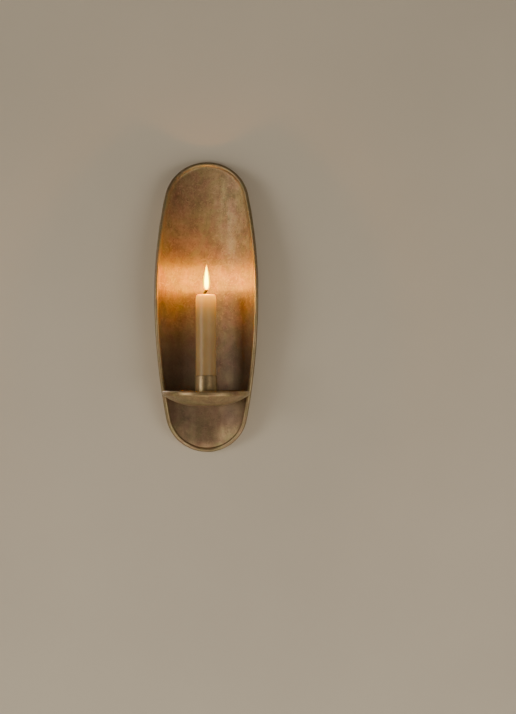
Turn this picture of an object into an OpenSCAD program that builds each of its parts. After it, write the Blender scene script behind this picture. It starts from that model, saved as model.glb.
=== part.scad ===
// Wall sconce for one taper candle: a tall oval reflector rolled from sheet brass,
// with a wired edge, a round drip dish, a candle cup and a keyhole hanger on its back.
// Frame: the wall is the plane y = 0, the sconce stands out towards -Y, and +Z is up.
// The origin is the centre of the keyhole, on the wall plane.

/* [Reflector] */
// Width of the oval outline, seen from the front
shell_w = 112; // [96:1:116]
// Height of the oval outline
shell_h = 316; // [260:1:360]
// Drop from the top tip to the widest line
widest_drop = 146; // [120:1:160]
// Inner radius that the sheet is rolled to, about a vertical axis
roll_r = 60; // [60:1:80]
// Thickness of the sheet
sheet = 1.2; // [0.8:0.1:1.6]
// Radius of the outline's top end
top_r = 46; // [42:0.5:50]
// Radius of the outline's bottom end
bottom_r = 44.5; // [42:0.5:50]
// Diameter of the round wire along the edge
wire_d = 4.8; // [3:0.1:6]
// Gap between the wall and the back of the sheet
wall_gap = 4; // [3.6:0.1:6]
// Drop from the top tip to the keyhole
keyhole_drop = 50; // [46:1:70]

/* [Drip dish] */
// Outer radius of the dish
dish_r = 46.5; // [42:0.5:46.5]
// Height of the dish's rolled rim
dish_rim_h = 5.5; // [4.5:0.1:7]
// Thickness of the rolled rim, across
dish_rim_t = 3.4; // [3:0.1:4]
// Depth of the rounded belly under the rim
belly_h = 10.8; // [9:0.1:14]
// Height of the dish's rim above the bottom tip of the reflector
dish_rise = 67.5; // [60:0.5:90]

/* [Candle cup and candle] */
// Outer radius of the cup
cup_r = 12.1; // [12:0.1:14]
// Inner radius of the cup
cup_bore_r = 11.2; // [11.1:0.1:12]
// How far the cup stands above the dish's rim
cup_proud = 16.2; // [10:0.1:25]
// Thickness of the cup's solid floor
cup_floor = 5; // [5:0.5:8]
// Radius of the candle
candle_r = 10.9; // [10:0.1:10.9]
// Height of the candle's top above the cup's mouth
candle_proud = 87; // [40:1:200]

/* [Hidden] */
$fn = 96;
arc_fn = 256;   // for the wide arcs of the outline and of the rolled sheet
over = 1;       // how far a cutter runs past what it cuts

// Reflector outline: half width, the two heights from its widest line, and its side arcs
half_w = shell_w / 2;
up_h = widest_drop;
down_h = shell_h - widest_drop;
widest_z = keyhole_drop - widest_drop;
bottom_z = keyhole_drop - shell_h;
wire_r = wire_d / 2;
up_side_r = side_radius(up_h, top_r);
down_side_r = side_radius(down_h, bottom_r);
up_turn = atan2(up_h - top_r, up_side_r - half_w);
down_turn = atan2(down_h - bottom_r, down_side_r - half_w);

// Rolled sheet: its vertical axis lies in front of the wall
back_r = roll_r + sheet;
mid_r = roll_r + sheet / 2;
axis_y = -(wall_gap + back_r);

// Wire sweep
side_steps = 10;
end_steps = 24;
wire_sides = 12;

// Hanger bracket
bracket_t = 1.2;
bracket_w = 26;
web_top = 22;
web_bottom = -30;
foot_h = 12;
keyhole_r = 4.6;
slot_r = 2.3;
slot_rise = 9;

// Rivets
rivet_r = 1.5;
rivet_head_r = 2.4;
rivet_head_h = 1.1;
rivet_tail_h = 0.8;
rivet_hole_r = 1.52;

// Rubber bumpers
bumper_r = 7;
bumper_x = 12;
bumper_rise = 34;

// Dish: heights are counted from its underside
dish_h = belly_h + dish_rim_h;
dish_z = bottom_z + dish_rise - dish_h;
belly_flat = 10;
belly_w = dish_r - dish_rim_t / 2;
belly_r = (pow(belly_w - belly_flat, 2) + pow(belly_h, 2)) / (2 * belly_h);
boss_r = 10;
dimple_r = 8.6;
dimple_h = 2.6;
boss_h = dimple_h + sheet;
screw_hole_r = 2.1;

// Saddle between the dish and the sheet
saddle_t = 1.2;
saddle_r = roll_r - saddle_t;
saddle_turn = 34;
saddle_low = 5;
saddle_high = 15;
seat_bite = 0.9;
dish_y = axis_y + saddle_r + seat_bite - dish_r;
dish_rivet_turn = 30;
dish_rivet_rise = 7.8;
dish_rivet_z = dish_z + dish_rivet_rise;

// Cup, its screw and the candle
cup_z = dish_z + boss_h;
cup_h = dish_h + cup_proud - boss_h;
screw_r = 1.95;
screw_bore_r = 2;
screw_bore_h = 4.2;
screw_grip = 4;
head_r = 3.6;
head_h = 2;
driver_w = 0.9;
driver_h = 1;
washer_r = 4.6;
washer_t = 0.5;
candle_gap = 0.1;
candle_z = cup_z + cup_floor + candle_gap;
candle_h = cup_z + cup_h + candle_proud - candle_z;
shoulder_r = 2;
pool_r = 9;
pool_h = 2.2;
pool_ball_r = (pool_r * pool_r + pool_h * pool_h) / (2 * pool_h);
wick_r = 1;
wick_hole_r = 1.1;
wick_start = 2;
wick_stand = 1.6;
wick_lean = 30;
wick_burnt_r = 0.8;
wick_tip = 6;

// Radius of a side arc that is level at the widest line and runs smoothly into an end arc
function side_radius(height, end_r) =
    (pow(half_w, 2) + pow(height - end_r, 2) - pow(end_r, 2)) / (2 * (half_w - end_r));

function unit(v) = v / norm(v);

// Points of an arc, without its last one
function arc(centre, r, from, to, steps) =
    [for (i = [0 : steps - 1]) let (a = from + (to - from) * i / steps)
        centre + r * [cos(a), sin(a)]];

// Outline of the oval, drawn in by a margin, counted anticlockwise from its right-hand side
function oval_route(margin) = concat(
    arc([half_w - up_side_r, 0], up_side_r - margin, 0, up_turn, side_steps),
    arc([0, up_h - top_r], top_r - margin, up_turn, 180 - up_turn, end_steps),
    arc([up_side_r - half_w, 0], up_side_r - margin, 180 - up_turn, 180, side_steps),
    arc([down_side_r - half_w, 0], down_side_r - margin, 180, 180 + down_turn, side_steps),
    arc([0, bottom_r - down_h], bottom_r - margin, 180 + down_turn, 360 - down_turn, end_steps),
    arc([half_w - down_side_r, 0], down_side_r - margin, -down_turn, 0, side_steps));

// A point of the outline, wrapped onto the middle of the rolled sheet
function on_sheet(p) =
    [p[0], axis_y + sqrt(pow(mid_r, 2) - pow(p[0], 2)), widest_z + p[1]];

// One half of the oval as exact arcs: the lens of two side arcs, closed by an end circle
module oval_half(height, end_r, side_r, margin) {
    seam = side_r * (height - end_r) / (side_r - end_r);
    intersection() {
        translate([half_w - side_r, 0]) circle(r = side_r - margin, $fn = arc_fn);
        translate([side_r - half_w, 0]) circle(r = side_r - margin, $fn = arc_fn);
        translate([-half_w, 0]) square([shell_w, seam]);
    }
    translate([0, height - end_r]) circle(r = end_r - margin, $fn = arc_fn);
}

// Prism of the oval, from the wall plane to the axis of the roll
module oval_prism(margin) {
    translate([0, 0, widest_z])
        rotate([90, 0, 0])
            linear_extrude(height = -axis_y) {
                oval_half(up_h, top_r, up_side_r, margin);
                mirror([0, 1]) oval_half(down_h, bottom_r, down_side_r, margin);
            }
}

// Upright cylinder about the axis of the roll
module roll(r, low, high) {
    translate([0, axis_y, low]) cylinder(r = r, h = high - low, $fn = arc_fn);
}

// Places something on the sheet: turned about the roll's axis, with +Z pointing to the wall
module on_roll(turn, z) {
    translate([0, axis_y, z]) rotate([0, 0, turn]) rotate([-90, 0, 0]) children();
}

module hanger_rivet_places() {
    for (z = [web_top + foot_h / 2, web_bottom - foot_h / 2]) on_roll(0, z) children();
}

module dish_rivet_places() {
    for (turn = [-dish_rivet_turn, dish_rivet_turn]) on_roll(turn, dish_rivet_z) children();
}

// Hole for a rivet through the saddle, the sheet and a foot of the bracket
module rivet_hole() {
    translate([0, 0, saddle_r - over])
        cylinder(r = rivet_hole_r, h = saddle_t + sheet + bracket_t + 2 * over);
}

// Domed rivet head, standing on z = 0
module rivet_head(height) {
    ball_r = (pow(rivet_head_r, 2) + pow(height, 2)) / (2 * height);
    intersection() {
        translate([0, 0, height - ball_r]) sphere(r = ball_r);
        cylinder(r = rivet_head_r + over, h = height + over);
    }
}

module reflector_shell() {
    color([0.66, 0.47, 0.24])
    difference() {
        intersection() {
            oval_prism(wire_r);
            roll(back_r, bottom_z - over, keyhole_drop + over);
        }
        roll(roll_r, bottom_z - 2 * over, keyhole_drop + 2 * over);
        hanger_rivet_places() rivet_hole();
        dish_rivet_places() rivet_hole();
    }
}

// Round wire soldered along the edge of the sheet, swept along the wrapped outline
module rim_wire() {
    route = [for (p = oval_route(wire_r)) on_sheet(p)];
    count = len(route);
    rings = [for (i = [0 : count - 1])
        let (
            along = unit(route[(i + 1) % count] - route[(i + count - 1) % count]),
            out = unit(route[i] - [0, axis_y, route[i][2]]),
            across = cross(along, out)
        )
        for (k = [0 : wire_sides - 1])
            let (a = 360 * k / wire_sides)
            route[i] + wire_r * (cos(a) * unit(cross(across, along)) + sin(a) * across)];
    walls = [for (i = [0 : count - 1]) for (k = [0 : wire_sides - 1])
        let (
            here = i * wire_sides,
            next = ((i + 1) % count) * wire_sides,
            side = (k + 1) % wire_sides
        )
        for (wall = [[here + k, next + k, next + side], [here + k, next + side, here + side]])
            wall];
    color([0.74, 0.55, 0.30]) polyhedron(points = rings, faces = walls);
}

// Hat-shaped bracket: a web on the wall plane and two feet riveted to the back of the sheet
module hanger_bracket() {
    web_h = web_top - web_bottom;
    reach = wall_gap + sheet + bracket_t;
    color([0.60, 0.58, 0.52])
    difference() {
        union() {
            translate([-bracket_w / 2, -bracket_t, web_bottom])
                cube([bracket_w, bracket_t, web_h]);
            for (z = [web_bottom, web_top - bracket_t])
                translate([-bracket_w / 2, -reach, z]) cube([bracket_w, reach, bracket_t]);
            intersection() {
                roll(back_r + bracket_t, web_bottom - foot_h, web_top + foot_h);
                for (z = [web_bottom - foot_h, web_top - bracket_t])
                    translate([-bracket_w / 2, -reach, z])
                        cube([bracket_w, reach, foot_h + bracket_t]);
            }
        }
        roll(back_r, web_bottom - foot_h - over, web_top + foot_h + over);
        rotate([90, 0, 0]) translate([0, 0, -over]) {
            cylinder(r = keyhole_r, h = bracket_t + 2 * over);
            translate([0, slot_rise, 0]) cylinder(r = slot_r, h = bracket_t + 2 * over);
            translate([-slot_r, 0, 0]) cube([2 * slot_r, slot_rise, bracket_t + 2 * over]);
        }
        hanger_rivet_places() rivet_hole();
    }
}

// Two rivets, ground flush with the sheet's polished front
module hanger_rivets() {
    color([0.62, 0.45, 0.25])
    hanger_rivet_places() {
        translate([0, 0, roll_r]) cylinder(r = rivet_r, h = sheet + bracket_t);
        translate([0, 0, back_r + bracket_t]) rivet_head(rivet_head_h);
    }
}

// Two rubber pucks that hold the lower end off the wall
module wall_bumpers() {
    color([0.12, 0.11, 0.10])
    difference() {
        for (x = [-bumper_x, bumper_x])
            translate([x, 0, bottom_z + bumper_rise])
                rotate([90, 0, 0]) cylinder(r = bumper_r, h = 2 * wall_gap);
        roll(back_r, bottom_z, dish_z);
    }
}

// Curved strap against the front of the sheet; the dish is soldered to it
module dish_saddle() {
    reach = 2 * roll_r;
    color([0.62, 0.45, 0.24])
    difference() {
        intersection() {
            roll(roll_r, dish_z + saddle_low, dish_z + saddle_high);
            translate([0, axis_y, dish_z])
                linear_extrude(height = dish_h)
                    polygon([[0, 0], reach * [sin(saddle_turn), cos(saddle_turn)],
                             reach * [-sin(saddle_turn), cos(saddle_turn)]]);
        }
        roll(saddle_r, dish_z, dish_z + dish_h);
        dish_rivet_places() rivet_hole();
    }
}

// Two rivets with domed heads, whose edges rest on the saddle's hollow face, and flat tails
// behind the sheet
module dish_rivets() {
    seat = sqrt(pow(saddle_r, 2) - pow(rivet_head_r, 2));
    color([0.68, 0.50, 0.28])
    dish_rivet_places() {
        translate([0, 0, seat]) cylinder(r = rivet_r, h = back_r - seat + rivet_tail_h);
        translate([0, 0, back_r]) cylinder(r = rivet_head_r, h = rivet_tail_h);
        translate([0, 0, seat]) mirror([0, 0, 1]) rivet_head(rivet_head_h);
    }
}

// One surface of the belly: flat in the middle, then an arc up to the rim
module belly_outline(margin) {
    square([belly_flat, belly_h]);
    intersection() {
        translate([belly_flat, belly_r]) circle(r = belly_r - margin, $fn = arc_fn);
        translate([belly_flat, margin]) square([belly_w - belly_flat - margin, belly_h]);
    }
}

// Half section of the dish: belly, rolled rim and the raised boss under the cup
module dish_section() {
    rim_r = dish_rim_t / 2;
    rim_x = dish_r - rim_r;
    difference() {
        union() {
            difference() {
                intersection() {
                    belly_outline(0);
                    square([belly_w, belly_h]);
                }
                translate([0, sheet]) square([belly_flat, belly_h]);
                intersection() {
                    belly_outline(sheet);
                    translate([belly_flat, 0]) square([belly_w, 2 * belly_h]);
                }
            }
            translate([rim_x, belly_h + rim_r]) circle(r = rim_r);
            translate([rim_x, belly_h + dish_rim_h - rim_r]) circle(r = rim_r);
            translate([rim_x - rim_r, belly_h + rim_r])
                square([dish_rim_t, dish_rim_h - dish_rim_t]);
            translate([rim_x - sheet, belly_h]) square([sheet, rim_r]);
            square([boss_r, boss_h]);
        }
        square([dimple_r, dimple_h]);
        square([screw_hole_r, dish_h]);
    }
}

module drip_dish() {
    color([0.70, 0.52, 0.29])
    intersection() {
        translate([0, dish_y, dish_z]) rotate_extrude($fn = arc_fn) dish_section();
        roll_trim();
    }
}

// Everything in front of the saddle's face
module roll_trim() {
    reach = 2 * roll_r;
    roll(saddle_r, dish_z - over, dish_z + dish_h + over);
    translate([-reach / 2, axis_y - reach, dish_z - over])
        cube([reach, reach, dish_h + 2 * over]);
}

module candle_cup() {
    color([0.72, 0.54, 0.31])
    translate([0, dish_y, cup_z])
        difference() {
            cylinder(r = cup_r, h = cup_h);
            translate([0, 0, cup_floor]) cylinder(r = cup_bore_r, h = cup_h);
            translate([0, 0, -over]) cylinder(r = screw_bore_r, h = screw_bore_h + over);
        }
}

// Slotted screw, up through the dish's boss into the cup's floor
module cup_screw() {
    seat_z = dish_z + dimple_h - washer_t;
    color([0.62, 0.60, 0.56])
    translate([0, dish_y, seat_z])
        difference() {
            union() {
                translate([0, 0, -head_h]) cylinder(r = head_r, h = head_h);
                cylinder(r = screw_r, h = washer_t + sheet + screw_grip);
            }
            translate([-head_r - over, -driver_w / 2, -head_h - over])
                cube([2 * (head_r + over), driver_w, driver_h + over]);
        }
}

module cup_washer() {
    color([0.66, 0.64, 0.60])
    translate([0, dish_y, dish_z + dimple_h - washer_t])
        difference() {
            cylinder(r = washer_r, h = washer_t);
            translate([0, 0, -over]) cylinder(r = screw_hole_r, h = washer_t + 2 * over);
        }
}

// Taper candle with a rounded shoulder and a shallow melt pool round its wick
module candle() {
    color([0.93, 0.86, 0.68])
    translate([0, dish_y, candle_z])
        difference() {
            rotate_extrude() {
                square([candle_r, candle_h - shoulder_r]);
                square([candle_r - shoulder_r, candle_h]);
                intersection() {
                    translate([candle_r - shoulder_r, candle_h - shoulder_r])
                        circle(r = shoulder_r);
                    square([candle_r, candle_h]);
                }
            }
            translate([0, 0, candle_h - pool_h + pool_ball_r]) sphere(r = pool_ball_r);
            translate([0, 0, wick_start - candle_gap])
                cylinder(r = wick_hole_r, h = candle_h);
        }
}

// Wick: a straight run inside the wax and a thinner, burnt end that leans over
module wick() {
    run = candle_h - pool_h - wick_start + wick_stand;
    color([0.16, 0.13, 0.11])
    translate([0, dish_y, candle_z + wick_start]) {
        cylinder(r = wick_r, h = run);
        translate([0, 0, run - wick_r])
            rotate([0, wick_lean, 0]) cylinder(r = wick_burnt_r, h = wick_tip);
    }
}

reflector_shell();
rim_wire();
hanger_bracket();
hanger_rivets();
wall_bumpers();
dish_saddle();
dish_rivets();
drip_dish();
candle_cup();
cup_screw();
cup_washer();
candle();
wick();
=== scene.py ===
"""Looks of the wall sconce: a rolled oval reflector of aged brass, its dish, cup and lit candle."""

import math

import bmesh
import bpy
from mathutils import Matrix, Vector, noise


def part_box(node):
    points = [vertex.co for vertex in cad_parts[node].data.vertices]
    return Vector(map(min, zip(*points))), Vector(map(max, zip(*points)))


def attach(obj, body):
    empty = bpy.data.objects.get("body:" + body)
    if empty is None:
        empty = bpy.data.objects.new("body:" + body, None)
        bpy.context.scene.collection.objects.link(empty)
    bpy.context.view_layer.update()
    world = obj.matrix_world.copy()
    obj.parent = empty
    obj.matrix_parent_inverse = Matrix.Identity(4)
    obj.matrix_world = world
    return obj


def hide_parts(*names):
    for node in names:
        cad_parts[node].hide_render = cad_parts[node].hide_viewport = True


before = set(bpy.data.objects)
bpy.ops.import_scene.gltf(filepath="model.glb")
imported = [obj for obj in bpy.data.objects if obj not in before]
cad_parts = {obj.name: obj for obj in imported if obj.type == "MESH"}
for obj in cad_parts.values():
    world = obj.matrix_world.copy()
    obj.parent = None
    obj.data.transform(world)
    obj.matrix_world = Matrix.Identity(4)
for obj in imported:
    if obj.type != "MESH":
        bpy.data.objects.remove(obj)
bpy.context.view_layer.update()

MM = 0.001


def box(node):
    """Lowest and highest corners of a CAD node at rest."""
    low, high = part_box(node)
    return Vector(low), Vector(high)


# Driving sizes: most are read off the frame, and the few that it can't give are named here
wire_low, wire_high = box("rim_wire")
sheet_low, sheet_high = box("reflector_shell")
dish_low, dish_high = box("drip_dish")
cup_low, cup_high = box("candle_cup")
candle_low, candle_high = box("candle")

HALF_W = wire_high.x
TOP_Z = wire_high.z
BOTTOM_Z = wire_low.z
WIRE_R = wire_high.x - sheet_high.x
SHEET_T = 1.2 * MM
ROLL_R = 60 * MM
MID_R = ROLL_R + SHEET_T / 2
AXIS_Y = sheet_high.y - ROLL_R - SHEET_T
WIDEST_DROP = 146 * MM
WIDEST_Z = TOP_Z - WIDEST_DROP
TOP_R = 46 * MM
BOTTOM_R = 44.5 * MM

CUP_R = (cup_high.x - cup_low.x) / 2
CUP_BORE_R = 11.2 * MM
CUP_FLOOR = 5 * MM
CANDLE_R = (candle_high.x - candle_low.x) / 2
STAND_Y = (candle_low.y + candle_high.y) / 2

DISH_R = (dish_high.x - dish_low.x) / 2
DISH_RIM_H = 5.5 * MM
DISH_RIM_T = 3.4 * MM
DISH_BELLY_H = dish_high.z - dish_low.z - DISH_RIM_H
DISH_FLAT = 10 * MM
BOSS_R = 10 * MM
DIMPLE_R = 8.6 * MM
DIMPLE_H = 2.6 * MM
SCREW_HOLE_R = 2.1 * MM

FLAME_H = 29.2 * MM
FLAME_FOOT_Z = candle_high.z + 3.6 * MM
FLAME_X = 0.6 * MM


# Meshes

def mesh_object(name, points, faces, closed=True):
    """A smooth-shaded mesh object; a closed one has its faces turned outwards."""
    mesh = bpy.data.meshes.new(name)
    mesh.from_pydata([tuple(p) for p in points], [], faces)
    mesh.validate()
    if closed:
        shell = bmesh.new()
        shell.from_mesh(mesh)
        bmesh.ops.recalc_face_normals(shell, faces=shell.faces)
        shell.to_mesh(mesh)
        shell.free()
    for polygon in mesh.polygons:
        polygon.use_smooth = True
    piece = bpy.data.objects.new(name, mesh)
    bpy.context.scene.collection.objects.link(piece)
    return piece


def arc(centre, radius, start, end, steps):
    """Points (r, z) of an arc in a half section, angles in degrees."""
    points = []
    for i in range(steps + 1):
        a = math.radians(start + (end - start) * i / steps)
        points.append((centre[0] + radius * math.cos(a), centre[1] + radius * math.sin(a)))
    return points


def turned_points(section, foot, segments, shift):
    """Rings of points: a half section (r, z) turned about the upright axis through foot."""
    points = []
    for r, z in section:
        for k in range(segments):
            a = 2 * math.pi * k / segments
            point = Vector((r * math.cos(a), r * math.sin(a), z))
            if shift:
                point += shift(point)
            points.append(Vector(foot) + point)
    return points


def ring_faces(rings, sides, closed):
    """Faces between neighbouring rings of points, and from the last to the first if closed."""
    faces = []
    for i in range(rings if closed else rings - 1):
        j = (i + 1) % rings
        for k in range(sides):
            n = (k + 1) % sides
            faces.append((i * sides + k, i * sides + n, j * sides + n, j * sides + k))
    return faces


def end_faces(rings, sides):
    """Caps on the first and the last ring."""
    last = (rings - 1) * sides
    return [tuple(range(sides - 1, -1, -1)), tuple(range(last, last + sides))]


def lathe(name, section, foot, segments, shift=None):
    """Turns a closed half section about the upright axis through foot."""
    points = turned_points(section, foot, segments, shift)
    return mesh_object(name, points, ring_faces(len(section), segments, True))


def lathe_open(name, section, foot, segments, shift=None):
    """Turns an open half section whose ends lie all but on the axis."""
    points = turned_points(section, foot, segments, shift)
    faces = ring_faces(len(section), segments, False) + end_faces(len(section), segments)
    return mesh_object(name, points, faces)


def sweep(name, route, radii, sides, closed):
    """A round tube along a route, with one radius per point."""
    toward = Vector((0, 1, 0))
    count = len(route)
    points = []
    for i, centre in enumerate(route):
        after = route[(i + 1) % count] if closed or i < count - 1 else centre
        before = route[i - 1] if closed or i > 0 else centre
        along = (after - before).normalized()
        out = (toward - along * toward.dot(along)).normalized()
        across = along.cross(out)
        for k in range(sides):
            a = 2 * math.pi * k / sides
            points.append(centre + radii[i] * (math.cos(a) * out + math.sin(a) * across))
    faces = ring_faces(count, sides, closed)
    if not closed:
        faces += end_faces(count, sides)
    return mesh_object(name, points, faces)


def waves(point, size, seed):
    """Smooth unevenness from -1 to 1 with features of about the given size."""
    return noise.noise(point / size + Vector((seed, 2 * seed, 3 * seed)))


# Outline of the reflector

def side_radius(height, end_r):
    """Radius of the side arc that is level at the widest line and meets an end arc smoothly."""
    return (HALF_W ** 2 + (height - end_r) ** 2 - end_r ** 2) / (2 * (HALF_W - end_r))


def outline_half(upper):
    """Height, end radius and side radius of the outline's upper or lower half."""
    height = TOP_Z - WIDEST_Z if upper else WIDEST_Z - BOTTOM_Z
    end_r = TOP_R if upper else BOTTOM_R
    return height, end_r, side_radius(height, end_r)


def edge_x(z, margin):
    """Half the outline's width at height z, drawn in by a margin."""
    height, end_r, side_r = outline_half(z >= WIDEST_Z)
    rise = abs(z - WIDEST_Z)
    seam = (side_r - margin) * (height - end_r) / (side_r - end_r)
    if rise > seam:
        return math.sqrt(max(0, (end_r - margin) ** 2 - (rise - height + end_r) ** 2))
    return HALF_W - side_r + math.sqrt((side_r - margin) ** 2 - rise ** 2)


def from_edge(x, z):
    """How far a point of the sheet is inside the outline."""
    height, end_r, side_r = outline_half(z >= WIDEST_Z)
    rise = abs(z - WIDEST_Z)
    centre_x = HALF_W - side_r
    if rise * (side_r - end_r) > (height - end_r) * (abs(x) - centre_x):
        return end_r - math.hypot(x, rise - height + end_r)
    return side_r - math.hypot(abs(x) - centre_x, rise)


def wrapped(x, z, radius):
    """The point of the rolled sheet at x and z, at a radius from the roll's axis."""
    return Vector((x, AXIS_Y + math.sqrt(radius ** 2 - x ** 2), z))


def rim_route(margin, side_steps, end_steps):
    """Points along the wrapped outline, anticlockwise from its right-hand side."""
    flat = []
    for upper in (True, False):
        height, end_r, side_r = outline_half(upper)
        turn = math.degrees(math.atan2(height - end_r, side_r - HALF_W))
        side = arc((HALF_W - side_r, 0), side_r - margin, 0, turn, side_steps)[:-1]
        end = arc((0, height - end_r), end_r - margin, turn, 180 - turn, end_steps)
        half = side + end + [(-x, z) for x, z in reversed(side)]
        flat += half if upper else [(-x, -z) for x, z in half][1:-1]
    return [wrapped(x, WIDEST_Z + z, MID_R) for x, z in flat]


# Pieces of metal

def make_reflector():
    """The sheet: rolled, very slightly uneven as hand-worked brass is, and blended into the wire,
    more at the top than at the bottom."""
    rows, columns = 260, 96
    edge = WIRE_R * 0.9
    top, bottom = TOP_Z - edge, BOTTOM_Z + edge
    blend_w, blend_h = 3.4 * MM, 1.3 * MM
    dent_w, dent_h = 34 * MM, 0.16 * MM
    ripple_w, ripple_h = 11 * MM, 0.05 * MM
    points = []
    for side, radius in ((-1, ROLL_R), (1, ROLL_R + SHEET_T)):
        for i in range(rows + 1):
            z = (top + bottom) / 2 - (top - bottom) / 2 * math.cos(math.pi * i / rows)
            turn = math.asin(edge_x(z, edge) / MID_R)
            for j in range(columns + 1):
                a = -turn * math.cos(math.pi * j / columns)
                at = Vector((MID_R * a, 0, z))
                dent = dent_h * waves(at, dent_w, 5) + ripple_h * waves(at, ripple_w, 9)
                far = (from_edge(MID_R * math.sin(a), z) - 1.5 * WIRE_R) / blend_w
                full = blend_h * max(0, (z - bottom) / (top - bottom))
                rise = full * (1 - min(1, max(0, far))) ** 2
                r = radius + dent + side * rise
                points.append(Vector((r * math.sin(a), AXIS_Y + r * math.cos(a), z)))
    width = columns + 1
    back = (rows + 1) * width
    faces = []
    for i in range(rows):
        for j in range(columns):
            a, b = i * width + j, i * width + j + 1
            faces.append((a, b, b + width, a + width))
            faces.append((back + a, back + a + width, back + b + width, back + b))
        for j, flip in ((0, False), (columns, True)):
            a = i * width + j
            wall = (a, a + width, back + a + width, back + a)
            faces.append(wall[::-1] if flip else wall)
    return mesh_object("reflector_sheet", points, faces)


def make_rim():
    """The round wire along the edge, a touch uneven where it was bent and soldered."""
    swell, swell_w = 0.035, 9 * MM
    bend, bend_w = 0.12 * MM, 26 * MM
    route = rim_route(WIRE_R, 64, 120)
    radii = [WIRE_R * (1 + swell * waves(p, swell_w, 3)) for p in route]
    outward = [Vector((p.x, p.y - AXIS_Y, 0)).normalized() for p in route]
    route = [p + bend * waves(p, bend_w, 7) * out for p, out in zip(route, outward)]
    return sweep("edge_wire", route, radii, 22, True)


def dish_section():
    """Closed half section of the spun dish: dimple, belly, rolled rim, inside and boss."""
    rim_r = DISH_RIM_T / 2
    rim_x = DISH_R - rim_r
    belly_w = rim_x - DISH_FLAT
    ball_r = (belly_w ** 2 + DISH_BELLY_H ** 2) / (2 * DISH_BELLY_H)
    centre = (DISH_FLAT, ball_r)
    turn = math.degrees(math.asin(belly_w / ball_r))
    edge, ease, boss_ease = 0.8 * MM, 0.6 * MM, 0.9 * MM
    roll_gap = 0.3 * MM
    inner_x = rim_x - SHEET_T - roll_gap
    inner_turn = math.degrees(math.asin((inner_x - DISH_FLAT) / (ball_r - SHEET_T)))
    high = DISH_BELLY_H + DISH_RIM_H - rim_r
    low = DISH_BELLY_H + rim_r
    section = [(SCREW_HOLE_R, DIMPLE_H), (DIMPLE_R - edge, DIMPLE_H)]
    section += arc((DIMPLE_R - edge, DIMPLE_H - edge), edge, 90, 0, 4)[1:]
    section += arc((DIMPLE_R + ease, ease), ease, 180, 270, 4)
    section += arc(centre, ball_r, -90, -90 + turn - 2, 40)[1:]
    section += arc((rim_x, low), rim_r, -50, 0, 8)
    section += arc((rim_x, high), rim_r, 0, 180, 20)
    section += arc((rim_x, low), rim_r, 180, 215, 6)
    section += arc(centre, ball_r - SHEET_T, -90 + inner_turn - 1, -90, 40)
    section += arc((BOSS_R + boss_ease, SHEET_T + boss_ease), boss_ease, 270, 180, 5)
    section += arc((BOSS_R - boss_ease, DIMPLE_H + SHEET_T - boss_ease), boss_ease, 0, 90, 5)
    section.append((SCREW_HOLE_R, DIMPLE_H + SHEET_T))
    return section


def make_dish():
    """The drip dish, spun from sheet, with a rolled rim."""
    ripple_w, ripple_h = 15 * MM, 0.07 * MM

    def shift(point):
        out = Vector((point.x, point.y, 0)).normalized()
        return ripple_h * waves(point, ripple_w, 4) * out

    foot = (0, STAND_Y, dish_low.z)
    return lathe("spun_dish", dish_section(), foot, 224, shift)


def make_cup():
    """The candle cup: a drawn tube with a soft lip and an eased foot."""
    height = cup_high.z - cup_low.z
    lip = (CUP_R - CUP_BORE_R) / 2
    ease = 0.7 * MM
    section = [(SCREW_HOLE_R, 0), (CUP_R - ease, 0)]
    section += arc((CUP_R - ease, ease), ease, -90, 0, 5)[1:]
    section += arc((CUP_R - lip, height - lip), lip, 0, 180, 10)
    section += [(CUP_BORE_R, CUP_FLOOR), (SCREW_HOLE_R, CUP_FLOOR)]
    return lathe("drawn_cup", section, (0, STAND_Y, cup_low.z), 128)


def towards_wall(section, foot, name, segments=48, shift=None):
    """Turns an open half section about an axis that runs along Y through foot."""
    piece = lathe_open(name, section, (0, 0, 0), segments)
    for vertex in piece.data.vertices:
        x, y, z = vertex.co
        point = Vector(foot) + Vector((x, z, -y))
        vertex.co = shift(point) if shift else point
    return piece


def joined(name, pieces):
    """Joins pieces into one mesh object."""
    points, faces = [], []
    for piece in pieces:
        start = len(points)
        points += [vertex.co.copy() for vertex in piece.data.vertices]
        faces += [[start + i for i in polygon.vertices] for polygon in piece.data.polygons]
        bpy.data.objects.remove(piece)
    return mesh_object(name, points, faces)


def make_hanger_rivets():
    """Two rivets with domed heads behind the bracket; in front the sheet is polished over them."""
    low, high = box("hanger_rivets")
    head_r = high.x
    shank_r = 1.5 * MM
    head_h = 1.1 * MM
    cover = 0.5 * MM
    reach = high.y - low.y - cover
    ball_r = (head_r ** 2 + head_h ** 2) / (2 * head_h)
    turn = math.degrees(math.asin(head_r / ball_r))
    middle_r, ease = 0.02 * MM, 0.1 * MM
    section = [(middle_r, 0), (shank_r, 0), (shank_r, reach - head_h)]
    section += [(head_r - ease, reach - head_h), (head_r, reach - head_h + ease)]
    section += arc((0, reach - ball_r), ball_r, 90 - turn + 3, 89.5, 8)
    rivets = [towards_wall(section, (0, low.y + cover, z), f"rivet_{i}")
              for i, z in enumerate((low.z + head_r, high.z - head_r))]
    return joined("bracket_rivets", rivets)


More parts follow.
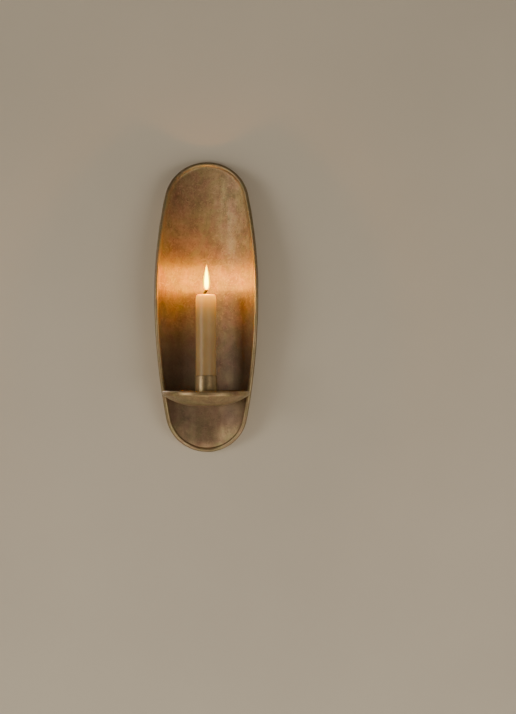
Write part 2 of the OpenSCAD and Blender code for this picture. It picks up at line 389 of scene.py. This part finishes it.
def make_bumpers():
    """Two rubber pucks: rounded edges, a dimple on the wall side, a foot that follows the sheet."""
    low, high = box("wall_bumpers")
    puck_r = (high.z - low.z) / 2
    ease = 1.0 * MM
    thick = 4.2 * MM
    dimple_r, dimple_h, dimple_ease = 2.6 * MM, 1.0 * MM, 0.4 * MM
    middle_r = 0.05 * MM
    sunk, slack = 0.3 * MM, 0.01 * MM
    back_r = ROLL_R + SHEET_T
    section = [(middle_r, 0), (puck_r, 0), (puck_r, thick - ease)]
    section += arc((puck_r - ease, thick - ease), ease, 0, 90, 6)[1:]
    section += arc((dimple_r + dimple_ease, thick - dimple_ease), dimple_ease, 90, 180, 3)
    section += [(dimple_r, thick - dimple_h), (middle_r, thick - dimple_h)]

    def onto_sheet(point):
        if point.y < high.y - thick + slack:
            point.y = AXIS_Y + math.sqrt(back_r ** 2 - point.x ** 2) - sunk
        return point

    pucks = [towards_wall(section, (side * (high.x - puck_r), high.y - thick, low.z + puck_r),
                          f"puck_{side}", 64, onto_sheet) for side in (-1, 1)]
    return joined("rubber_pucks", pucks)


# Candle

def make_candle():
    """The taper candle: nearly straight, with a softened shoulder and a shallow melt pool."""
    height = candle_high.z - candle_low.z
    shoulder = 2.8 * MM
    foot_ease = 0.6 * MM
    middle_r = 0.05 * MM
    pool_r = CANDLE_R - 3.4 * MM
    pool_h = 1.7 * MM
    pool_rim = height - 0.1 * MM
    pool_steps = 12
    section = [(middle_r, 0), (CANDLE_R - foot_ease, 0)]
    section += arc((CANDLE_R - foot_ease, foot_ease), foot_ease, -90, 0, 4)[1:]
    section += [(CANDLE_R, height * i / 40) for i in range(1, 39)]
    section += arc((CANDLE_R - shoulder, height - shoulder), shoulder, 0, 100, 10)
    for i in range(pool_steps):
        a = math.pi / 2 * i / pool_steps
        section.append((pool_r * math.cos(a), pool_rim - pool_h * math.sin(a)))
    section.append((middle_r, pool_rim - pool_h))

    soft_h, sag, swell_h = 9 * MM, 0.9 * MM, 0.06 * MM

    def shift(point):
        near_top = max(0, 1 - (height - point.z) / soft_h)
        out = Vector((point.x, point.y, 0)).normalized()
        dip = -sag * near_top * (0.5 + 0.5 * waves(out, 0.8, 2))
        narrow = -sag * near_top ** 2
        swell = swell_h * waves(point, 14 * MM, 6)
        reach = min(1, math.hypot(point.x, point.y) / CANDLE_R)
        return out * (swell + narrow) * reach + Vector((0, 0, dip * reach))

    foot = (0, STAND_Y, candle_low.z)
    return lathe_open("wax_candle", section, foot, 96, shift)


def make_wick():
    """The wick: upright out of the pool, then charred and bent over to the right."""
    aside, sunk = 2.9 * MM, 2.6 * MM
    wick_r, length = 1.5 * MM, 8.6 * MM
    foot = Vector((-aside, STAND_Y, candle_high.z - sunk))
    route, radii = [], []
    steps = 28
    for i in range(steps + 1):
        t = i / steps
        lean = math.radians(12 + 42 * t)
        step = length / steps
        here = route[-1] if route else foot
        route.append(here + Vector((math.sin(lean), 0.12 * math.sin(lean), math.cos(lean))) * step)
        swell = 0.18 * waves(here, 1.1 * MM, 8)
        narrow = 0.45 * max(0, (t - 0.75) / 0.25) ** 2
        radii.append(wick_r * (1 + swell) * (1 - narrow))
    return sweep("burnt_wick", route, radii, 14, False)


def flame_section(radius, height):
    """Half section of a flame: a drop, widest about a quarter of the way up, with a fine tip."""
    swell, taper = 0.42, 1.15
    tip_r = 0.02 * MM
    widest = swell / (swell + taper)
    scale = radius / (widest ** swell * (1 - widest) ** taper)
    steps = 44
    points = []
    for i in range(steps + 1):
        t = i / steps
        points.append((max(tip_r, scale * t ** swell * (1 - t) ** taper), height * t))
    return points


def make_flame(name, radius, height, foot_z):
    """One layer of the flame, standing on the wick."""
    foot = (FLAME_X, STAND_Y, foot_z)
    return lathe_open(name, flame_section(radius, height), foot, 40)


# Materials

def new_material(name):
    """A node material: returns it with its tree and its Principled shader."""
    material = bpy.data.materials.new(name)
    material.use_nodes = True
    tree = material.node_tree
    return material, tree, tree.nodes["Principled BSDF"]


def coordinates(tree, scale=(1, 1, 1)):
    """Object coordinates, stretched by a scale."""
    where = tree.nodes.new("ShaderNodeTexCoord")
    mapping = tree.nodes.new("ShaderNodeMapping")
    mapping.inputs["Scale"].default_value = scale
    tree.links.new(where.outputs["Object"], mapping.inputs["Vector"])
    return mapping.outputs["Vector"]


def noise_node(tree, vector, scale, detail=4.0, rough=0.55, distortion=0.0):
    """A noise texture's value."""
    node = tree.nodes.new("ShaderNodeTexNoise")
    node.inputs["Scale"].default_value = scale
    node.inputs["Detail"].default_value = detail
    node.inputs["Roughness"].default_value = rough
    node.inputs["Distortion"].default_value = distortion
    tree.links.new(vector, node.inputs["Vector"])
    return node.outputs["Fac"]


def ramp(tree, value, stops):
    """A colour ramp through (place, colour) stops."""
    node = tree.nodes.new("ShaderNodeValToRGB")
    band = node.color_ramp
    while len(band.elements) < len(stops):
        band.elements.new(0.5)
    for element, (place, colour) in zip(band.elements, stops):
        element.position = place
        element.color = (*colour, 1)
    tree.links.new(value, node.inputs["Fac"])
    return node.outputs["Color"]


def blend(tree, factor, first, second, mode="MIX"):
    """Mixes two colours, each a socket or a plain colour."""
    node = tree.nodes.new("ShaderNodeMix")
    node.data_type = "RGBA"
    node.blend_type = mode
    inputs = node.inputs
    for socket, value in ((inputs[0], factor), (inputs[6], first), (inputs[7], second)):
        if isinstance(value, bpy.types.NodeSocket):
            tree.links.new(value, socket)
        elif isinstance(value, tuple):
            socket.default_value = (*value, 1)
        else:
            socket.default_value = value
    return node.outputs[2]


def span(tree, value, low, high, to_low, to_high):
    """Maps a value from one range to another, clamped."""
    node = tree.nodes.new("ShaderNodeMapRange")
    node.clamp = True
    for name, number in (("From Min", low), ("From Max", high),
                         ("To Min", to_low), ("To Max", to_high)):
        node.inputs[name].default_value = number
    tree.links.new(value, node.inputs["Value"])
    return node.outputs["Result"]


def math_node(tree, operation, first, second):
    """A math node on two values, each a socket or a number."""
    node = tree.nodes.new("ShaderNodeMath")
    node.operation = operation
    for socket, value in zip(node.inputs, (first, second)):
        if isinstance(value, bpy.types.NodeSocket):
            tree.links.new(value, socket)
        else:
            socket.default_value = value
    return node.outputs[0]


def axis_of(tree, axis, source="Object"):
    """One axis of the object coordinates, in metres, or of the surface's normal."""
    where = tree.nodes.new("ShaderNodeTexCoord")
    split = tree.nodes.new("ShaderNodeSeparateXYZ")
    tree.links.new(where.outputs[source], split.inputs[0])
    return split.outputs[axis]


def height_of(tree):
    """The Z of object coordinates, in metres."""
    return axis_of(tree, "Z")


def distance_to(tree, point):
    """Distance of the object coordinates from a point, in metres."""
    gap = tree.nodes.new("ShaderNodeVectorMath")
    gap.operation = "DISTANCE"
    tree.links.new(coordinates(tree), gap.inputs[0])
    gap.inputs[1].default_value = point
    return gap.outputs["Value"]


def bump(tree, shader, layers):
    """Stacks bump layers (height, distance) onto a shader's normal."""
    previous = None
    for height, distance in layers:
        node = tree.nodes.new("ShaderNodeBump")
        node.inputs["Strength"].default_value = 1.0
        node.inputs["Distance"].default_value = distance
        tree.links.new(height, node.inputs["Height"])
        if previous:
            tree.links.new(previous, node.inputs["Normal"])
        previous = node.outputs["Normal"]
    tree.links.new(previous, shader.inputs["Normal"])


def painted_shade_near_dish(tree):
    """Painted shade on the sheet's front: most around the dish, where the dish and the candle
    shade it, and less at two painted lit spots near the lower edge."""
    reach = 110 * MM
    fade_low, fade_high = 5 * MM, 13 * MM
    seam_low, seam_high = 2 * MM, 4 * MM
    z = height_of(tree)
    # Painted shade above the dish, where the candle and the dish keep light off the sheet
    up = span(tree, z, dish_high.z, dish_high.z + reach, 0, 1)
    shares = ((0.0, 0.7), (0.3, 0.72), (0.5, 0.55), (0.7, 0.25), (1.0, 0.0))
    above = ramp(tree, up, [(step, (share, share, share)) for step, share in shares])
    # Painted shade below the dish, for the dish's shadow, eased off near the lower edge
    below = math_node(tree, "MULTIPLY", span(tree, z, BOTTOM_Z, dish_low.z, 0.62, 0.72),
                      span(tree, z, BOTTOM_Z + fade_low, BOTTOM_Z + fade_high, 0, 1))
    # Two painted lit spots in that shade; the right one is a painted highlight
    spot_rise, spot_low, spot_high = 16 * MM, 4 * MM, 22 * MM
    for x, keep in ((27 * MM, 0.0), (-28 * MM, 0.6)):
        gap = distance_to(tree, wrapped(x, BOTTOM_Z + spot_rise, ROLL_R))
        rubbed_and_lit = span(tree, gap, spot_low, spot_high, keep, 1)
        below = math_node(tree, "MULTIPLY", below, rubbed_and_lit)
    side = span(tree, z, dish_low.z - seam_low, dish_low.z + seam_high, 0, 1)
    both = blend(tree, side, below, above)
    # The painted shade goes on front-facing faces only
    front = span(tree, axis_of(tree, "Y", "Normal"), -0.2, 0.2, 1, 0)
    return math_node(tree, "MULTIPLY", both, front)


def outer_side(tree):
    """How far a surface faces away from the middle of the oval, from -1 to 1."""
    where = tree.nodes.new("ShaderNodeTexCoord")
    place = tree.nodes.new("ShaderNodeVectorMath")
    place.operation = "SUBTRACT"
    tree.links.new(where.outputs["Object"], place.inputs[0])
    place.inputs[1].default_value = (0, 0, (TOP_Z + BOTTOM_Z) / 2)
    slope = tree.nodes.new("ShaderNodeVectorMath")
    slope.operation = "MULTIPLY"
    tree.links.new(place.outputs[0], slope.inputs[0])
    slope.inputs[1].default_value = (((TOP_Z - BOTTOM_Z) / 2 / HALF_W) ** 2, 0, 1)
    unit = tree.nodes.new("ShaderNodeVectorMath")
    unit.operation = "NORMALIZE"
    tree.links.new(slope.outputs[0], unit.inputs[0])
    facing = tree.nodes.new("ShaderNodeVectorMath")
    facing.operation = "DOT_PRODUCT"
    tree.links.new(unit.outputs[0], facing.inputs[0])
    tree.links.new(where.outputs["Normal"], facing.inputs[1])
    return facing.outputs["Value"]


def aged_brass(name, bright, brown, dark, rough, streak, brushed=0.0, painted_shade=None):
    """Brass with a mottled patina from red-brown to green-brown, crackle, rub streaks, freckles
    and edges worn bright; brushing along Z spreads its highlights sideways, and an optional mask
    paints shade on it, towards near black."""
    material, tree, shader = new_material(name)
    plain = coordinates(tree)
    tall = coordinates(tree, (1, 1, 0.18))
    clouds = noise_node(tree, plain, 21, 7, 0.62, 0.5)
    mottle = noise_node(tree, plain, 95, 6, 0.65, 0.3)
    rubs = noise_node(tree, tall, 160, 5, 0.6, 0.1)
    freckles = noise_node(tree, plain, 620, 2, 0.5)
    colour = ramp(tree, clouds, [(0.3, dark), (0.47, brown), (0.7, bright)])
    spots = ramp(tree, mottle, [(0.34, dark), (0.56, brown), (0.74, bright)])
    colour = blend(tree, 0.48, colour, spots)
    crackle = noise_node(tree, plain, 150, 3, 0.55, 3.0)
    colour = blend(tree, span(tree, crackle, 0.53, 0.64, 0, 0.5), colour, bright)
    tint = ramp(tree, noise_node(tree, plain, 46, 5, 0.6, 1.2),
                [(0.36, (1.12, 0.9, 1.0)), (0.62, (0.92, 1.08, 0.86))])
    colour = blend(tree, 0.75, colour, tint, "MULTIPLY")
    rubbed_and_lit = span(tree, rubs, 0.45, 0.75, 0, streak)
    colour = blend(tree, rubbed_and_lit, colour, bright)
    pits = span(tree, freckles, 0.3, 0.4, 0.55, 0)
    colour = blend(tree, pits, colour, dark)
    geometry = tree.nodes.new("ShaderNodeNewGeometry")
    worn = span(tree, geometry.outputs["Pointiness"], 0.51, 0.58, 0, 0.6)
    colour = blend(tree, worn, colour, bright)
    if painted_shade:
        # Painted shade: mixes the colour towards near black where the mask asks for it
        colour = blend(tree, painted_shade(tree), colour, (0.08, 0.046, 0.03))
    tree.links.new(colour, shader.inputs["Base Color"])
    shader.inputs["Metallic"].default_value = 0.8
    shader.inputs["Coat Weight"].default_value = 0.2
    shader.inputs["Coat Roughness"].default_value = 0.35
    shader.inputs["Anisotropic"].default_value = brushed
    if brushed:
        around = tree.nodes.new("ShaderNodeTangent")
        around.direction_type = "RADIAL"
        around.axis = "Z"
        tree.links.new(around.outputs["Tangent"], shader.inputs["Tangent"])
    smooth, dull = rough
    grain = math_node(tree, "ADD", span(tree, mottle, 0.3, 0.7, dull, smooth),
                      span(tree, rubs, 0.3, 0.8, 0.06, -0.06))
    tree.links.new(grain, shader.inputs["Roughness"])
    bump(tree, shader, [(clouds, 0.35 * MM), (rubs, 0.03 * MM), (crackle, 0.03 * MM),
                        (freckles, 0.02 * MM)])
    return material


def rim_painted_shade(tree):
    """Painted shade on the outer side of the edge wire, which turns away from the light."""
    return span(tree, outer_side(tree), -0.5, 0.4, 0.15, 0.36)


def steel_material():
    """Zinc-plated steel: dull, slightly yellowed, with fine scratches."""
    material, tree, shader = new_material("zinc_plate")
    plain = coordinates(tree)
    scratch = noise_node(tree, coordinates(tree, (1, 1, 14)), 140, 4, 0.6)
    spangle = noise_node(tree, plain, 70, 3, 0.5, 0.8)
    colour = ramp(tree, spangle, [(0.3, (0.34, 0.33, 0.29)), (0.7, (0.55, 0.54, 0.5))])
    colour = blend(tree, span(tree, scratch, 0.6, 0.8, 0, 0.5), colour, (0.7, 0.69, 0.66))
    tree.links.new(colour, shader.inputs["Base Color"])
    shader.inputs["Metallic"].default_value = 1.0
    tree.links.new(span(tree, spangle, 0.3, 0.7, 0.5, 0.34), shader.inputs["Roughness"])
    bump(tree, shader, [(scratch, 0.02 * MM)])
    return material


def rubber_material():
    """Soft black rubber with a dusty bloom."""
    material, tree, shader = new_material("black_rubber")
    grain = noise_node(tree, coordinates(tree), 900, 3, 0.6)
    dust = noise_node(tree, coordinates(tree), 130, 5, 0.6)
    colour = ramp(tree, dust, [(0.35, (0.018, 0.017, 0.016)), (0.75, (0.075, 0.07, 0.064))])
    tree.links.new(colour, shader.inputs["Base Color"])
    tree.links.new(span(tree, dust, 0.3, 0.7, 0.62, 0.85), shader.inputs["Roughness"])
    bump(tree, shader, [(grain, 0.05 * MM)])
    return material


def wax_material():
    """Ivory wax: light sinks into it, and a painted glow at its top stands in for the flame's
    light.
    """
    material, tree, shader = new_material("ivory_wax")
    sink, painted_glow_depth = 5 * MM, 7 * MM
    cloud = noise_node(tree, coordinates(tree), 60, 4, 0.5)
    fine = noise_node(tree, coordinates(tree), 420, 3, 0.6)
    colour = ramp(tree, cloud, [(0.3, (0.41, 0.25, 0.09)), (0.7, (0.49, 0.31, 0.12))])
    tree.links.new(colour, shader.inputs["Base Color"])
    shader.inputs["Subsurface Weight"].default_value = 0.55
    shader.inputs["Subsurface Radius"].default_value = (1.0, 0.45, 0.18)
    shader.inputs["Subsurface Scale"].default_value = sink
    tree.links.new(span(tree, fine, 0.3, 0.7, 0.34, 0.46), shader.inputs["Roughness"])
    # Painted glow: emission fading down from the top, for flame light shining through the wax
    depth = math_node(tree, "SUBTRACT", height_of(tree), candle_high.z)
    fade = math_node(tree, "POWER", math.e, math_node(tree, "DIVIDE", depth, painted_glow_depth))
    glow = blend(tree, fade, (0.0, 0.0, 0.0), (1.0, 0.33, 0.0))
    tree.links.new(glow, shader.inputs["Emission Color"])
    shader.inputs["Emission Strength"].default_value = 3.3
    bump(tree, shader, [(cloud, 0.12 * MM), (fine, 0.02 * MM)])
    return material


def wick_material():
    """Charred cotton: black, with ash and a braid."""
    material, tree, shader = new_material("charred_wick")
    ash = noise_node(tree, coordinates(tree), 1500, 4, 0.7)
    colour = ramp(tree, ash, [(0.4, (0.006, 0.004, 0.003)), (0.75, (0.06, 0.035, 0.02))])
    tree.links.new(colour, shader.inputs["Base Color"])
    shader.inputs["Roughness"].default_value = 0.9
    bump(tree, shader, [(ash, 0.2 * MM)])
    return material


def flame_material(name, strength, cover):
    """Hot gas: light by itself, thin at its outline, coloured along its height."""
    stops = [(0.0, (0.6, 0.16, 0.0)), (0.14, (1.0, 0.55, 0.0)), (0.35, (1.0, 0.8, 0.0)),
             (0.7, (1.0, 0.72, 0.0)), (1.0, (0.5, 0.2, 0.0))]
    material, tree, shader = new_material(name)
    tree.nodes.remove(shader)
    output = tree.nodes["Material Output"]
    rise = span(tree, height_of(tree), FLAME_FOOT_Z, FLAME_FOOT_Z + FLAME_H, 0, 1)
    light = tree.nodes.new("ShaderNodeEmission")
    light.inputs["Strength"].default_value = strength
    tree.links.new(ramp(tree, rise, stops), light.inputs["Color"])
    clear = tree.nodes.new("ShaderNodeBsdfTransparent")
    mix = tree.nodes.new("ShaderNodeMixShader")
    facing = tree.nodes.new("ShaderNodeLayerWeight")
    facing.inputs["Blend"].default_value = 0.35
    thick = span(tree, facing.outputs["Facing"], 0.1, 0.95, cover, 0)
    tree.links.new(thick, mix.inputs[0])
    tree.links.new(clear.outputs[0], mix.inputs[1])
    tree.links.new(light.outputs[0], mix.inputs[2])
    tree.links.new(mix.outputs[0], output.inputs["Surface"])
    return material


def plaster_material(name, colour, one_sided):
    """Plain pale matt plaster; the wall is seen only from in front."""
    material, tree, shader = new_material(name)
    cloud = noise_node(tree, coordinates(tree), 2.6, 5, 0.5)
    light = tuple(c * 1.05 for c in colour)
    dark = tuple(c * 0.95 for c in colour)
    tree.links.new(ramp(tree, cloud, [(0.3, dark), (0.7, light)]), shader.inputs["Base Color"])
    shader.inputs["Roughness"].default_value = 0.95
    shader.inputs["Specular IOR Level"].default_value = 0.1
    if one_sided:
        geometry = tree.nodes.new("ShaderNodeNewGeometry")
        clear = tree.nodes.new("ShaderNodeBsdfTransparent")
        mix = tree.nodes.new("ShaderNodeMixShader")
        tree.links.new(geometry.outputs["Backfacing"], mix.inputs[0])
        tree.links.new(shader.outputs[0], mix.inputs[1])
        tree.links.new(clear.outputs[0], mix.inputs[2])
        tree.links.new(mix.outputs[0], tree.nodes["Material Output"].inputs["Surface"])
    return material


def paint(piece, material):
    """Gives a piece one material all over."""
    piece.data.materials.clear()
    piece.data.materials.append(material)
    for polygon in piece.data.polygons:
        polygon.material_index = 0


def paint_node(node, material):
    """Gives a carried-over CAD node a better material in its own slots."""
    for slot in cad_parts[node].material_slots:
        slot.link = "OBJECT"
        slot.material = material


def place(piece, body, node, slot):
    """Lets a piece ride on a body and stand for a CAD node; the slot is not used."""
    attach(piece, body)
    if node:
        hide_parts(node)


# Stage: wall, floor, lights and camera

def make_stage():
    """A plain pale wall behind the sconce and a plain pale floor far below it."""
    reach, drop = 3.0, 1.4
    wall_points = [(-reach, 0, -drop), (reach, 0, -drop), (reach, 0, reach), (-reach, 0, reach)]
    floor_points = [(-reach, -2 * reach, -drop), (reach, -2 * reach, -drop),
                    (reach, reach, -drop), (-reach, reach, -drop)]
    wall = mesh_object("wall", wall_points, [(0, 1, 2, 3)], closed=False)
    floor = mesh_object("floor", floor_points, [(0, 1, 2, 3)], closed=False)
    paint(wall, plaster_material("wall_plaster", (0.62, 0.555, 0.45), True))
    paint(floor, plaster_material("floor_plaster", (0.8, 0.76, 0.7), False))
    wall.visible_shadow = False


def area_light(name, place_at, target, size, power, colour):
    """A soft rectangular light that faces a target."""
    light = bpy.data.lights.new(name, "AREA")
    light.shape = "RECTANGLE"
    light.size, light.size_y = size
    light.energy = power
    light.color = colour
    lamp = bpy.data.objects.new(name, light)
    lamp.location = place_at
    aim = Vector(target) - Vector(place_at)
    lamp.rotation_euler = aim.to_track_quat("-Z", "Y").to_euler()
    lamp.visible_camera = False
    bpy.context.scene.collection.objects.link(lamp)


def make_world():
    """A plain room: dim above, and brighter below, where a pale floor throws light back up."""
    world = bpy.data.worlds.new("studio")
    bpy.context.scene.world = world
    world.use_nodes = True
    tree = world.node_tree
    split = tree.nodes.new("ShaderNodeSeparateXYZ")
    tree.links.new(tree.nodes.new("ShaderNodeTexCoord").outputs["Generated"], split.inputs[0])
    level = span(tree, split.outputs["Z"], -0.5, 0.4, 0, 1)
    colour = ramp(tree, level, [(0.0, (0.42, 0.38, 0.32)), (0.6, (0.28, 0.25, 0.215)),
                                (1.0, (0.22, 0.2, 0.18))])
    side = math_node(tree, "ABSOLUTE", split.outputs["X"], 0.0)
    colour = blend(tree, span(tree, side, 0.1, 0.6, 0.5, 0), colour, (0.0, 0.0, 0.0))
    tree.links.new(colour, tree.nodes["Background"].inputs["Color"])
    tree.nodes["Background"].inputs["Strength"].default_value = 1.0


def make_lights():
    """A window on the left, a weaker one low on the right, light thrown up by the floor, and
    soft light for the back."""
    middle = (0, -0.03, (TOP_Z + BOTTOM_Z) / 2)
    area_light("window_left", (-2.0, -1.7, -0.2), middle, (1.1, 1.3), 18, (1.0, 0.95, 0.86))
    area_light("window_right", (1.25, -1.7, -0.75), middle, (1.2, 1.0), 9, (1.0, 0.94, 0.84))
    area_light("floor_bounce", (0.15, -0.55, -1.3), middle, (1.6, 0.8), 5.5, (1.0, 0.92, 0.8))
    area_light("back_light", (-1.2, 1.9, 0.9), middle, (1.4, 1.4), 45, (1.0, 0.98, 0.95))


def make_flame_lights(flame):
    """Warm lights up the flame, which throw its glow on the reflector."""
    count, lowest, apart = 3, 0.26, 0.25
    for i in range(count):
        light = bpy.data.lights.new(f"flame_light_{i}", "POINT")
        light.energy = 0.108
        light.color = (1.0, 0.38, 0.0)
        light.shadow_soft_size = 2.6 * MM
        lamp = bpy.data.objects.new(f"flame_light_{i}", light)
        bpy.context.scene.collection.objects.link(lamp)
        lamp.location = (FLAME_X, STAND_Y, FLAME_FOOT_Z + FLAME_H * (lowest + apart * i))
        lamp.parent = flame


def make_camera():
    """A level camera, a little to the right of the sconce and a little below its middle."""
    sensor, lens, far = 36, 103.8, 50
    aside, distance, rise = 55.6 * MM, 2.25, 103.5 * MM
    data = bpy.data.cameras.new("camera")
    data.sensor_width = sensor
    data.lens = lens
    data.clip_end = far
    camera = bpy.data.objects.new("camera", data)
    camera.location = (aside, -distance, BOTTOM_Z + rise)
    camera.rotation_euler = (math.pi / 2, 0, 0)
    bpy.context.scene.collection.objects.link(camera)
    bpy.context.scene.camera = camera


def dress_metal():
    """The sconce's metal and rubber: new pieces for some CAD nodes, new materials for the rest."""
    # The sheet's brass carries painted shade around the dish
    sheet_brass = aged_brass(
        "patina_brass", bright=(0.50, 0.36, 0.19), brown=(0.34, 0.23, 0.115),
        dark=(0.18, 0.11, 0.06), rough=(0.40, 0.52), streak=0.25, brushed=0.9, painted_shade=painted_shade_near_dish)
    # The rim's brass carries painted shade on the wire's outer side
    rim_brass = aged_brass(
        "rubbed_rim", bright=(0.47, 0.37, 0.2), brown=(0.34, 0.25, 0.13),
        dark=(0.19, 0.125, 0.06), rough=(0.34, 0.48), streak=0.5, painted_shade=rim_painted_shade)
    worn_brass = aged_brass(
        "rubbed_brass", bright=(0.46, 0.34, 0.175), brown=(0.31, 0.21, 0.105),
        dark=(0.16, 0.1, 0.055), rough=(0.32, 0.46), streak=0.5)
    steel = steel_material()
    for piece, node, material, slot in (
            (make_reflector(), "reflector_shell", sheet_brass, "antique_brass"),
            (make_rim(), "rim_wire", rim_brass, "worn_brass"),
            (make_dish(), "drip_dish", worn_brass, "worn_brass"),
            (make_cup(), "candle_cup", worn_brass, "worn_brass"),
            (make_hanger_rivets(), "hanger_rivets", worn_brass, "worn_brass"),
            (make_bumpers(), "wall_bumpers", rubber_material(), "rubber")):
        paint(piece, material)
        place(piece, "sconce", node, slot)
    for node, material in (("dish_saddle", sheet_brass), ("dish_rivets", worn_brass),
                           ("hanger_bracket", steel), ("cup_screw", steel),
                           ("cup_washer", steel)):
        paint_node(node, material)


def dress_candle():
    """The candle and its wick."""
    for piece, node, material, slot in ((make_candle(), "candle", wax_material(), "wax"),
                                        (make_wick(), "wick", wick_material(), "wick")):
        paint(piece, material)
        place(piece, "candle", node, slot)


def dress_flame():
    """The flame, a bright core in a thin envelope, and the light that it gives."""
    envelope_r, core_r, core_share, core_rise = 4.0 * MM, 2.25 * MM, 0.88, 1.0 * MM
    envelope = make_flame("flame_envelope", envelope_r, FLAME_H, FLAME_FOOT_Z)
    paint(envelope, flame_material("flame_glow", strength=3.2, cover=0.42))
    core = make_flame("flame_core", core_r, FLAME_H * core_share, FLAME_FOOT_Z + core_rise)
    paint(core, flame_material("flame_heart", strength=45, cover=1.0))
    for piece in (envelope, core):
        place(piece, "candle", None, "wax")
        piece.visible_shadow = False
    make_flame_lights(envelope)


def main():
    make_camera()
    make_stage()
    make_world()
    make_lights()
    dress_metal()
    dress_candle()
    dress_flame()


main()
